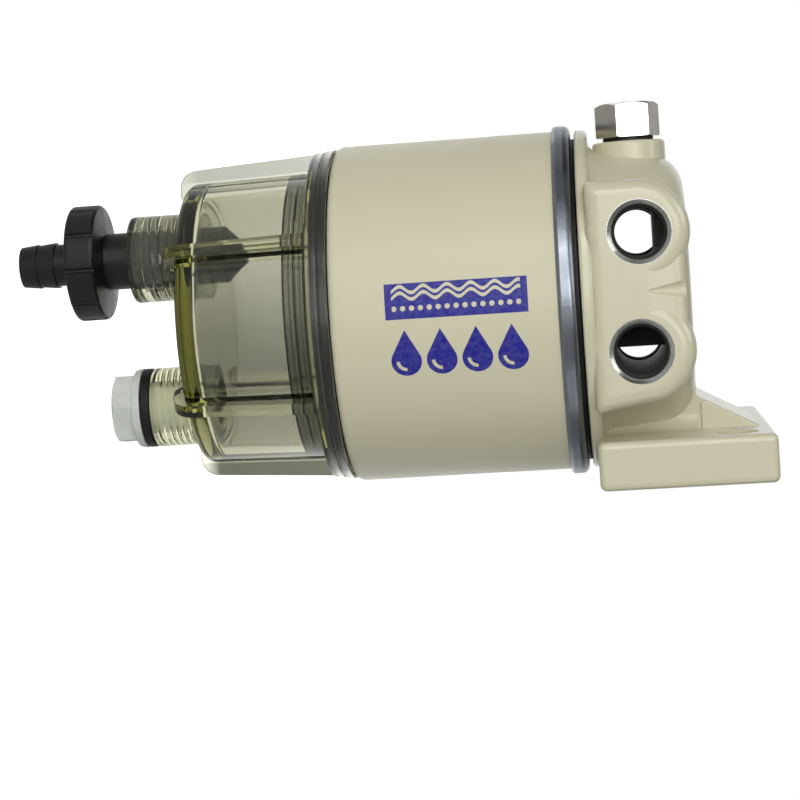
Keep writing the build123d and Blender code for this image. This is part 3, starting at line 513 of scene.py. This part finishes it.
def makeHeadPaint():
    look = headLook
    material, tree, skin, place = newMaterial("headEnamel", IOR=1.5)
    x, y, z = split(tree, place)
    # bare metal: inside the bores, in the gallery space over the element, and on the seal face
    nearest = calc(tree, "MINIMUM", *[axisDistance(tree, place, mounts[name]["pos_m"], mounts[name]["axis"])
                                      for name in ("inlet_port_right", "outlet_port_right")])
    bore = below(tree, nearest, look["boreReach"])
    inner = axisDistance(tree, place, filterAxis, upwards)
    gut = times(tree, below(tree, inner, look["gutReach"]), below(tree, z, look["gutTop"]))
    face = below(tree, z, look["faceTop"])
    bare = larger(tree, larger(tree, bore, gut), face)
    # only the flared mouths of the ports and the seal face are bright metal; the rest of the bare metal is
    # painted shade
    mouthStart, mouthEnd = (headHigh[0] - depth for depth in look["mouthDepth"])
    flareStart, flareEnd = (look["threadRadius"] + flare for flare in look["mouthFlare"])
    nearEnd = remap(tree, calc(tree, "ABSOLUTE", x), mouthStart, mouthEnd)
    mouth = times(tree, times(tree, nearEnd, remap(tree, nearest, flareStart, flareEnd)), bore)
    # deep in the ports and galleries the bare metal gets a painted shade: a dark, dull grey in place of the
    # shadow there
    metal = mixColour(tree, mouth, look["deepPaintedShade"], look["metal"])
    metal = mixColour(tree, face, metal, look["metal"])
    bright = larger(tree, mouth, face)
    paint = useGroup(tree, enamel, Place=place, Tint=look["tint"], Shade=look["shade"],
                     Cloud=look["cloudScale"])
    # edges are lightened towards a paler cream: a little wear and a painted highlight
    wearAndHighlight = useGroup(tree, edgeWearAndHighlight, Place=place, Reach=look["wearAndHighlightReach"])["Mask"]
    coat = mixColour(tree, times(tree, wearAndHighlight, look["wearAndHighlightShare"]), paint["Colour"], look["wearAndHighlightTint"])
    feed(tree, skin.inputs["Base Color"], mixColour(tree, bare, coat, metal))
    metallic = remap(tree, bright, 0.0, 1.0, look["deepMetallic"], 1.0)
    feed(tree, skin.inputs["Metallic"], times(tree, bare, metallic))
    centred = vectorCalc(tree, "SUBTRACT", place, filterAxis)
    lathe = useGroup(tree, latheLines, Place=centred, Spacing=look["turnSpacing"])
    less, more = look["metalSpread"]
    turned = remap(tree, lathe["Mask"], 0.0, 1.0, look["metalRough"] - less, look["metalRough"] + more)
    metalGloss = mixValue(tree, bright, look["deepRough"], turned)
    feed(tree, skin.inputs["Roughness"], mixValue(tree, bare, paint["Gloss"], metalGloss))
    feed(tree, skin.inputs["Coat Weight"], times(tree, minus(tree, 1.0, bare), look["coat"]))
    skin.inputs["Coat Roughness"].default_value = look["coatRough"]
    skin.inputs["Specular IOR Level"].default_value = look["specular"]
    addBump(tree, skin, mixValue(tree, bare, paint["Height"], lathe["Height"]), *look["bump"])
    return material


# Can: the same enamel on smooth sheet, with a blue print of waves, dots and drops on its +X side
canLook = {
    "tint": displayColour(205, 201, 174),
    "shade": displayColour(200, 196, 168),
    "cloudScale": 32.0,
    "specular": 0.2,
    "bump": (0.006 * mm, 0.5),
    "ink": displayColour(31, 31, 140),
    "inkRough": 0.38,
    "inkHeight": 0.6,
    "inkPatchScale": 900.0,
    "inkPatchLeast": 0.93,
    "panelStart": -79.2 * mm,
    "panelEnd": -46.2 * mm,
    "panelLow": -0.72 * mm,
    "panelHigh": 7.57 * mm,
    "panelInset": 1.6 * mm,
    "waveHeight": 5.35 * mm,
    "waveSwing": 0.75 * mm,
    "waveLength": 5.5 * mm,
    "waveApart": 0.75 * mm,
    "waveHalf": 0.42 * mm,
    "dotHeight": 1.75 * mm,
    "dotPitch": 2.06 * mm,
    "dotRadius": 0.62 * mm,
    "dropCount": 4,
    "dropCentre": -10.6 * mm,
    "dropRadius": 3.55 * mm,
    "dropTip": 7.4 * mm,
}


def printMask(tree, place):
    # flat coordinates of the print: along the can's axis, and round it as arc length from +X to the front
    look = canLook
    x, y, along = split(tree, vectorCalc(tree, "SUBTRACT", place, filterAxis))
    around = times(tree, calc(tree, "ARCTAN2", times(tree, y, -1.0), x), canRadius)
    fromStart = minus(tree, along, look["panelStart"])

    def between(value, low, high):
        return times(tree, above(tree, value, low), below(tree, value, high))

    span = between(along, look["panelStart"], look["panelEnd"])
    panel = times(tree, span, between(around, look["panelLow"], look["panelHigh"]))
    inset = between(along, look["panelStart"] + look["panelInset"], look["panelEnd"] - look["panelInset"])
    # two waves, the same distance above and below one sine line
    wave = calc(tree, "SINE", times(tree, along, 2 * math.pi / look["waveLength"]))
    offLine = minus(tree, minus(tree, around, look["waveHeight"]), times(tree, wave, look["waveSwing"]))
    offWave = minus(tree, calc(tree, "ABSOLUTE", offLine), look["waveApart"])
    waves = below(tree, calc(tree, "ABSOLUTE", offWave), look["waveHalf"])
    # a row of dots, and the drops below the panel
    cell = calc(tree, "PINGPONG", fromStart, look["dotPitch"] / 2)
    up = minus(tree, around, look["dotHeight"])
    fromDot = calc(tree, "SQRT", plus(tree, times(tree, cell, cell), times(tree, up, up)))
    marks = times(tree, larger(tree, waves, below(tree, fromDot, look["dotRadius"])), inset)
    banner = times(tree, panel, minus(tree, 1.0, marks))
    pitch = (look["panelEnd"] - look["panelStart"]) / look["dropCount"]
    step = minus(tree, calc(tree, "FLOORED_MODULO", fromStart, pitch), pitch / 2)
    drop = useGroup(tree, dropMark, X=step, Y=minus(tree, around, look["dropCentre"]),
                    Radius=look["dropRadius"], Tip=look["dropTip"])["Mask"]
    return times(tree, larger(tree, banner, times(tree, drop, span)), above(tree, x, 0.0))


def makeCanPaint():
    look = canLook
    material, tree, skin, place = newMaterial("canEnamel", IOR=1.5)
    paint = useGroup(tree, enamel, Place=place, Tint=look["tint"], Shade=look["shade"],
                     Cloud=look["cloudScale"])
    ink = printMask(tree, place)
    patchy = remap(tree, noise(tree, place, look["inkPatchScale"]), 0.3, 0.7, look["inkPatchLeast"], 1.0)
    colour = mixColour(tree, times(tree, ink, patchy), paint["Colour"], look["ink"])
    feed(tree, skin.inputs["Base Color"], colour)
    feed(tree, skin.inputs["Roughness"], mixValue(tree, ink, paint["Gloss"], look["inkRough"]))
    skin.inputs["Specular IOR Level"].default_value = look["specular"]
    addBump(tree, skin, plus(tree, paint["Height"], times(tree, ink, look["inkHeight"])), *look["bump"])
    return material


# Metals: zinc ring, plated hexagon and steel inside; each has its colour, roughness and spacing of the
# turned lines
metalKinds = {
    "zinc": (displayColour(140, 146, 154), 0.34, 0.45 * mm),
    "nickel": (displayColour(214, 211, 202), 0.14, 0.25 * mm),
    "steel": (displayColour(160, 160, 158), 0.34, 0.6 * mm),
}
metalLook = {
    "dim": 0.82,
    "bright": 1.15,
    "wearAndHighlightReach": 0.4 * mm,
    "roughSpread": (0.05, 0.08),
    "bump": (0.006 * mm, 0.6),
}


def makeMetal(kind):
    colour, rough, spacing = metalKinds[kind]
    material, tree, skin, place = newMaterial(kind + "Metal", Metallic=1.0)
    centred = vectorCalc(tree, "SUBTRACT", place, filterAxis)
    lathe = useGroup(tree, latheLines, Place=centred, Spacing=spacing)
    # edges are lightened: a little wear and a painted highlight
    wearAndHighlight = useGroup(tree, edgeWearAndHighlight, Place=place, Reach=metalLook["wearAndHighlightReach"])["Mask"]
    tone = mixColour(tree, lathe["Mask"], colour, scaledColour(colour, metalLook["dim"]))
    tone = mixColour(tree, wearAndHighlight, tone, scaledColour(colour, metalLook["bright"]))
    feed(tree, skin.inputs["Base Color"], tone)
    patchyRoughness(tree, skin, lathe["Mask"], rough, *metalLook["roughSpread"])
    addBump(tree, skin, lathe["Height"], *metalLook["bump"])
    return material


# Rubber, nylon, paper, and a painted shade for the threads deep in the ports, a dull dark grey in place of
# their shadowed metal; each has its dark and pale colour, roughness, scale of pits and specular level
softKinds = {
    "rubber": (displayColour(20, 20, 20), displayColour(32, 32, 32), 0.5, 1100.0, 0.3),
    "blackNylon": (displayColour(12, 13, 13), displayColour(25, 26, 26), 0.36, 1500.0, 0.45),
    "paper": (displayColour(196, 176, 124), displayColour(170, 148, 98), 0.85, 900.0, 0.3),
    "threadPaintedShade": (displayColour(44, 43, 41), displayColour(62, 61, 58), 0.6, 1500.0, 0.25),
}
softLook = {
    "paleShare": 0.4,
    "wearAndHighlightShare": 0.6,
    "wearAndHighlightReach": 0.4 * mm,
    "roughSpread": (0.06, 0.08),
    "bump": (0.006 * mm, 0.4),
}


def makeSoft(kind):
    dark, pale, rough, pits, shine = softKinds[kind]
    material, tree, skin, place = newMaterial(kind + "Skin")
    skin.inputs["Specular IOR Level"].default_value = shine
    grain = useGroup(tree, mouldGrain, Place=place, Pits=pits)
    # edges are lightened towards the pale colour: a little wear and a painted highlight
    wearAndHighlight = useGroup(tree, edgeWearAndHighlight, Place=place, Reach=softLook["wearAndHighlightReach"])["Mask"]
    shade = mixColour(tree, times(tree, grain["Mask"], softLook["paleShare"]), dark, pale)
    shade = mixColour(tree, times(tree, wearAndHighlight, softLook["wearAndHighlightShare"]), shade, pale)
    feed(tree, skin.inputs["Base Color"], shade)
    patchyRoughness(tree, skin, grain["Mask"], rough, *softLook["roughSpread"])
    addBump(tree, skin, grain["Height"], *softLook["bump"])
    return material


# White nylon plug: milky, with light passing a little way in
plugLook = {
    "tint": displayColour(219, 222, 217),
    "shade": displayColour(200, 205, 199),
    "rough": 0.3,
    "roughMore": 0.1,
    "milkiness": 0.35,
    "milkRadius": (1.0, 1.0, 0.9),
    "milkDepth": 2.0 * mm,
    "pitScale": 1300.0,
    "bump": (0.015 * mm, 0.4),
}


def makeWhiteNylon():
    look = plugLook
    material, tree, skin, place = newMaterial("whiteNylonSkin")
    skin.inputs["Subsurface Weight"].default_value = look["milkiness"]
    skin.inputs["Subsurface Radius"].default_value = look["milkRadius"]
    skin.inputs["Subsurface Scale"].default_value = look["milkDepth"]
    grain = useGroup(tree, mouldGrain, Place=place, Pits=look["pitScale"])
    feed(tree, skin.inputs["Base Color"], mixColour(tree, grain["Mask"], look["tint"], look["shade"]))
    patchyRoughness(tree, skin, grain["Mask"], look["rough"], 0.0, look["roughMore"])
    addBump(tree, skin, grain["Height"], *look["bump"])
    return material


# Bowl: clear moulding, olive where the plastic is thick; a tint acts once for each wall that light passes
bowlLook = {
    "tint": (0.62, 0.62, 0.61, 1.0),
    "rearBandTint": (0.40, 0.40, 0.385, 1.0),
    "rib": (0.72, 0.72, 0.71, 1.0),
    "rearRib": (0.12, 0.12, 0.10, 1.0),
    "frontRib": (0.42, 0.42, 0.42, 1.0),
    "flange": (0.36, 0.36, 0.35, 1.0),
    "drainBoss": (0.60, 0.60, 0.585, 1.0),
    "probeBoss": (0.98, 0.98, 0.96, 1.0),
    "shadow": (0.94, 0.94, 0.91, 1.0),
    "depthColour": (0.75, 0.75, 0.38, 1.0),
    "depthDensity": 100.0,
    "swirlScale": 45.0,
    "swirlReach": 2.0 * mm,
    "frontClear": (-22.0 * mm, 12.0 * mm),
    "rearClear": (16.0 * mm, 38.0 * mm),
    "rearMost": 0.75,
    "rearRibStart": (27.0 * mm, 31.0 * mm),
    "frontRibEnd": (-31.0 * mm, -27.0 * mm),
    "ribFade": 0.4 * mm,
    "wallFoot": 34.95 * mm,
    "wallHead": 35.9 * mm,
    "flangeFoot": canLow[2] - 5.6 * mm,
    "flangeFade": 0.6 * mm,
    "bossTop": bowlLow[2] + 15.7 * mm,
    "bossFade": (-3.0 * mm, 2.0 * mm),
    "betweenBosses": (3.0 * mm, 10.0 * mm),
    "rough": (0.01, 0.04),
    "bump": (0.05 * mm, 0.35),
}


def makeClear():
    look = bowlLook
    material, tree, skin, place = newMaterial("clearPlastic", IOR=1.5)
    skin.inputs["Transmission Weight"].default_value = 1.0
    flow = noise(tree, place, look["swirlScale"])
    x, y, z = split(tree, vectorCalc(tree, "SUBTRACT", place, filterAxis))
    # the wall's tint is darker in a broad band beside its rear
    across = plus(tree, y, remap(tree, flow, 0.3, 0.7, -look["swirlReach"], look["swirlReach"]))
    frontClear = remap(tree, across, *look["frontClear"], 1.0, 0.0, smooth=True)
    rearClear = remap(tree, across, *look["rearClear"], 0.0, look["rearMost"], smooth=True)
    wall = mixColour(tree, larger(tree, frontClear, rearClear), look["rearBandTint"], look["tint"])
    # the ribs stand out from the wall, whose radius grows with its draft from foot to head
    ribs = mixColour(tree, remap(tree, y, *look["rearRibStart"]), look["rib"], look["rearRib"])
    ribs = mixColour(tree, remap(tree, y, *look["frontRibEnd"]), look["frontRib"], ribs)
    outer = axisDistance(tree, place, filterAxis, upwards)
    edge = remap(tree, z, look["bossTop"], look["flangeFoot"], look["wallFoot"], look["wallHead"])
    cup = mixColour(tree, remap(tree, minus(tree, outer, edge), 0.0, look["ribFade"]), wall, ribs)
    rim = remap(tree, z, look["flangeFoot"] - look["flangeFade"], look["flangeFoot"])
    cup = mixColour(tree, rim, cup, look["flange"])
    # the bosses under the cup take their own tints, the drain boss darker than the probe boss
    bosses = mixColour(tree, remap(tree, y, *look["betweenBosses"]), look["drainBoss"], look["probeBoss"])
    bossLow, bossHigh = (look["bossTop"] + fade for fade in look["bossFade"])
    feed(tree, skin.inputs["Base Color"], mixColour(tree, remap(tree, z, bossLow, bossHigh), bosses, cup))
    feed(tree, skin.inputs["Roughness"], remap(tree, flow, 0.3, 0.7, *look["rough"]))
    addBump(tree, skin, flow, *look["bump"])
    depth = addNode(tree, "ShaderNodeVolumeAbsorption")
    depth.inputs["Color"].default_value = look["depthColour"]
    depth.inputs["Density"].default_value = look["depthDensity"]
    out = next(n for n in tree.nodes if n.type == "OUTPUT_MATERIAL")
    tree.links.new(depth.outputs[0], out.inputs["Volume"])
    # shadow rays pass straight through, so that the bowl's inside isn't black
    passing = addNode(tree, "ShaderNodeBsdfTransparent")
    passing.inputs["Color"].default_value = look["shadow"]
    shadowRay = addNode(tree, "ShaderNodeLightPath").outputs["Is Shadow Ray"]
    mix = addNode(tree, "ShaderNodeMixShader")
    for socket, value in zip(mix.inputs, (shadowRay, skin.outputs[0], passing.outputs[0])):
        tree.links.new(value, socket)
    tree.links.new(mix.outputs[0], out.inputs["Surface"])
    return material


headPaint = makeHeadPaint()
canPaint = makeCanPaint()
zinc = makeMetal("zinc")
nickel = makeMetal("nickel")
steel = makeMetal("steel")
rubber = makeSoft("rubber")
blackNylon = makeSoft("blackNylon")
paper = makeSoft("paper")
threadShadeFinish = makeSoft("threadPaintedShade")
whiteNylon = makeWhiteNylon()
clear = makeClear()

finishes = {
    headPaint: ["head"],
    canPaint: ["filter_can"],
    zinc: ["seam_ring"],
    nickel: ["vent_plug"],
    steel: ["element_stud", "top_plate", "upper_end_cap", "lower_end_cap", "centre_tube"],
    rubber: ["vent_seal", "element_gasket", "hub_grommet", "bowl_seal", "drain_seal", "probe_seal"],
    blackNylon: ["can_thread_ring", "drain_valve"],
    paper: ["media_pack"],
    whiteNylon: ["probe_plug"],
    clear: ["bowl"],
}
for material, names in finishes.items():
    for name in names:
        nodes[name].data.materials.clear()
        nodes[name].data.materials.append(material)
print("materials ready")


# Screw threads: how a ridge fades at its ends, and its half widths as shares of the pitch
threadShape = {
    "fadeTurns": 0.5,
    "leastHeight": 0.04,
    "footHalf": 0.46,
    "crestHalf": 0.1,
    "sharpAngle": 30,
    "stepsPerTurn": 72,
}


def sweptThread(name, start, axis, length, pitch, root, tip, fromAngle=0.0,
                stepsPerTurn=threadShape["stepsPerTurn"]):
    # a ridge carried along a helix: at turn t the ridge's middle lies pitch * t along the axis, its four
    # corners lie at the root and tip radius, and its height fades in and out over half a turn at each end
    turns = length / pitch
    count = int(round(turns * stepsPerTurn)) + 1
    t = np.linspace(0.0, turns, count)
    fade = np.clip(np.minimum(t, turns - t) / threadShape["fadeTurns"], threadShape["leastHeight"], 1.0)
    crest = root + (tip - root) * fade
    radii = np.stack([np.full(count, root), crest, crest, np.full(count, root)], axis=1)
    foot, top = threadShape["footHalf"], threadShape["crestHalf"]
    along = t[:, None] * pitch + np.array([-foot, -top, top, foot])[None, :] * pitch
    angle = (2 * np.pi * t + fromAngle)[:, None]
    axis = np.array(axis, dtype=float)
    first = np.array([0.0, 0.0, 1.0]) if abs(axis[2]) < 0.9 else np.array([1.0, 0.0, 0.0])
    second = np.cross(axis, first)
    points = (np.array(start)[None, None, :] + along[..., None] * axis
              + (radii * np.cos(angle))[..., None] * first + (radii * np.sin(angle))[..., None] * second)
    ring = np.arange(count - 1)[:, None] * 4
    corner = np.arange(4)[None, :]
    after = (corner + 1) % 4
    sides = np.stack([ring + corner, ring + after, ring + 4 + after, ring + 4 + corner], axis=-1)
    last = (count - 1) * 4
    quads = np.vstack([sides.reshape(-1, 4), [[3, 2, 1, 0]], [[last, last + 1, last + 2, last + 3]]])
    flat = points.reshape(-1, 3)
    # a negative volume means that the faces point inwards
    a, b, c, d = (flat[quads[:, k]] for k in range(4))
    volume = np.einsum("ij,ij->i", a, np.cross(b, c) + np.cross(c, d)).sum()
    if volume < 0:
        quads = quads[:, ::-1]
    return newSmoothPiece(name, flat, quads, threadShape["sharpAngle"])


def dressPiece(piece, body, material):
    piece.data.materials.append(material)
    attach(piece, body)


# port threads, from just inside the mouth to just short of the bore's end, in a dull dark grey that is
# painted shade
portThread = {"pitch": 1.41 * mm, "depth": 0.56 * mm, "skin": 0.02 * mm, "endGap": 0.6 * mm}
for name in ("inlet_port_right", "inlet_port_left", "outlet_port_right", "outlet_port_left"):
    mount = mounts[name]
    radius = mount["dims"]["r_mm"] * mm
    length = mount["dims"]["length_mm"] * mm
    side = mount["axis"][0]
    mid = Vector(mount["pos_m"])
    begin = (side * (abs(mid.x) - length / 2 + portThread["endGap"]), mid.y, mid.z)
    piece = sweptThread(name + "_thread", begin, mount["axis"], length - 2 * portThread["endGap"],
                        portThread["pitch"], radius - portThread["skin"], radius - portThread["depth"])
    dressPiece(piece, "head", threadShadeFinish)


# threads of the drain valve and the probe plug, and those of the bowl's bosses around them: each pair is on
# one right-hand helix half a pitch apart, so they stay clear of each other as the piece is screwed out
def bossThread(name, y, low, high, start, pitch, root, tip, body, material):
    # the helix runs through the start height at angle nought, and this stretch begins at the low height
    turned = 2 * math.pi * ((low - start) / pitch % 1.0)
    piece = sweptThread(name, (0, y, low), upwards, high - low, pitch, root, tip, fromAngle=turned)
    dressPiece(piece, body, material)


drainThread = {
    "pitch": 2.0 * mm,
    "stemStart": 0.5 * mm,
    "boreStart": 0.4 * mm,
    "endGap": 0.3 * mm,
    "sunk": 0.05 * mm,
    "stemRise": 0.2 * mm,
    "boreGap": 0.3 * mm,
    "boreRise": 0.22 * mm,
    "reliefFrom": -6.5 * mm,
    "reliefTo": -2.0 * mm,
    "reliefDepth": 0.9 * mm,
    "pastSeal": 3.4 * mm,
}
look = drainThread
sealLow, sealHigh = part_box("drain_seal")
valveY = (sealLow[1] + sealHigh[1]) / 2
stemRadius = (sealHigh[0] - sealLow[0]) / 2
boreRadius = stemRadius + look["boreGap"]
bossFoot = bowlLow[2]
reliefLow, reliefHigh = sealLow[2] + look["reliefFrom"], sealLow[2] + look["reliefTo"]
bossThread("drain_stem_thread", valveY, bossFoot + look["stemStart"], reliefLow - look["endGap"], bossFoot,
           look["pitch"], stemRadius - look["sunk"], stemRadius + look["stemRise"],
           "drain_valve", blackNylon)
boreStretches = (
    ("drain_bore_thread_low", bossFoot + look["boreStart"], reliefLow - look["endGap"], boreRadius),
    ("drain_relief_rings", reliefLow + look["endGap"], reliefHigh - look["endGap"],
     boreRadius + look["reliefDepth"]),
    ("drain_bore_thread_high", reliefHigh + look["endGap"], sealHigh[2] + look["pastSeal"], boreRadius),
)
for name, low, high, bore in boreStretches:
    bossThread(name, valveY, low, high, bossFoot + look["pitch"] / 2, look["pitch"],
               bore + look["sunk"], bore - look["boreRise"], "bowl", clear)

probeThread = {
    "pitch": 1.5 * mm,
    "radius": 6.35 * mm,
    "footGap": 0.5 * mm,
    "topGap": 1.0 * mm,
    "boreTop": 11.5 * mm,
    "plugRoot": -0.05 * mm,
    "plugTip": 0.2 * mm,
    "boreRoot": 0.35 * mm,
    "boreTip": 0.1 * mm,
}
look = probeThread
plugLow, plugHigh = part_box("probe_plug")
probeY = (plugLow[1] + plugHigh[1]) / 2
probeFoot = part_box("probe_seal")[1][2]
bossThread("probe_thread", probeY, probeFoot + look["footGap"], plugHigh[2] - look["topGap"], probeFoot,
           look["pitch"], look["radius"] + look["plugRoot"], look["radius"] + look["plugTip"],
           "probe_plug", whiteNylon)
bossThread("probe_bore_thread", probeY, probeFoot + look["footGap"], probeFoot + look["boreTop"],
           probeFoot + look["pitch"] / 2, look["pitch"], look["radius"] + look["boreRoot"],
           look["radius"] + look["boreTip"], "bowl", clear)

# threads that show once their piece is screwed out: each has where it starts, its axis, its length, pitch,
# root and tip radius, its steps in a turn, its body and slot, and its material
ventLow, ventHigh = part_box("vent_plug")
ventZ = (ventLow[2] + ventHigh[2]) / 2
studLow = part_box("element_stud")[0]
hiddenThreads = {
    "vent_thread": ((0, ventHigh[1] - 7.2 * mm, ventZ), (0, 1, 0), 6.4 * mm, 1.5 * mm,
                    4.97 * mm, 5.25 * mm, 72, "vent_plug", "plated_steel", nickel),
    "stud_thread": ((0, filterY, studLow[2] + 1.2 * mm), upwards, 14.0 * mm, 1.5875 * mm,
                    9.5 * mm, 9.74 * mm, 72, "head", "steel", steel),
    "bowl_neck_thread": ((0, filterY, bowlHigh[2] - 9.0 * mm), upwards, 8.0 * mm, 3.0 * mm,
                         32.98 * mm, 33.25 * mm, 144, "bowl", "clear_plastic", clear),
}
for name, (start, axis, length, pitch, root, tip, steps, body, slot, material) in hiddenThreads.items():
    piece = sweptThread(name, start, axis, length, pitch, root, tip, stepsPerTurn=steps)
    dressPiece(piece, body, material)
print("threads ready")


# Rings inside the bowl's rim: each row has its wall's radius, its foot and head from the flange's foot, how
# many rings it has and how far they stand in
ringLook = {
    "rows": ((31.75 * mm, -6.1 * mm, -3.6 * mm, 2, 0.45 * mm),
             (30.6 * mm, -3.4 * mm, -1.1 * mm, 2, 0.45 * mm)),
    "skin": 0.04 * mm,
    "stepsRound": 144,
    "stepsUp": 24,
    "sharpAngle": 35,
}


def wavyRing(name, radius, low, high, waves, depth):
    # a closed ring round the filter's axis: its outer wall is a cylinder sunk in the bowl's wall, and its
    # inner wall stands in from it by depth times the square of a sine of the height, so it ends at the wall
    steps = ringLook["stepsRound"]
    fraction = np.linspace(0.0, 1.0, ringLook["stepsUp"] + 1)
    inner = radius - depth * np.sin(np.pi * waves * fraction) ** 2
    height = low + (high - low) * fraction
    outer = radius + ringLook["skin"]
    profileR = np.concatenate([inner, [outer, outer]])
    profileZ = np.concatenate([height, [high, low]])
    turn = np.linspace(0.0, 2 * np.pi, steps, endpoint=False)
    x = profileR[:, None] * np.cos(turn)
    y = profileR[:, None] * np.sin(turn) + filterY
    z = np.repeat(profileZ[:, None], steps, axis=1)
    count = len(profileR)
    row = np.arange(count)[:, None]
    column = np.arange(steps)[None, :]
    after, beside = (row + 1) % count, (column + 1) % steps
    quads = np.stack([row * steps + column, after * steps + column, after * steps + beside,
                      row * steps + beside], axis=-1).reshape(-1, 4)
    return newSmoothPiece(name, np.stack([x, y, z], axis=-1).reshape(-1, 3), quads, ringLook["sharpAngle"])


for index, (radius, low, high, waves, depth) in enumerate(ringLook["rows"]):
    foot = bowlLook["flangeFoot"]
    piece = wavyRing(f"bowl_inner_ring_{index + 1}", radius, foot + low, foot + high, waves, depth)
    dressPiece(piece, "bowl", clear)
print("rings ready")
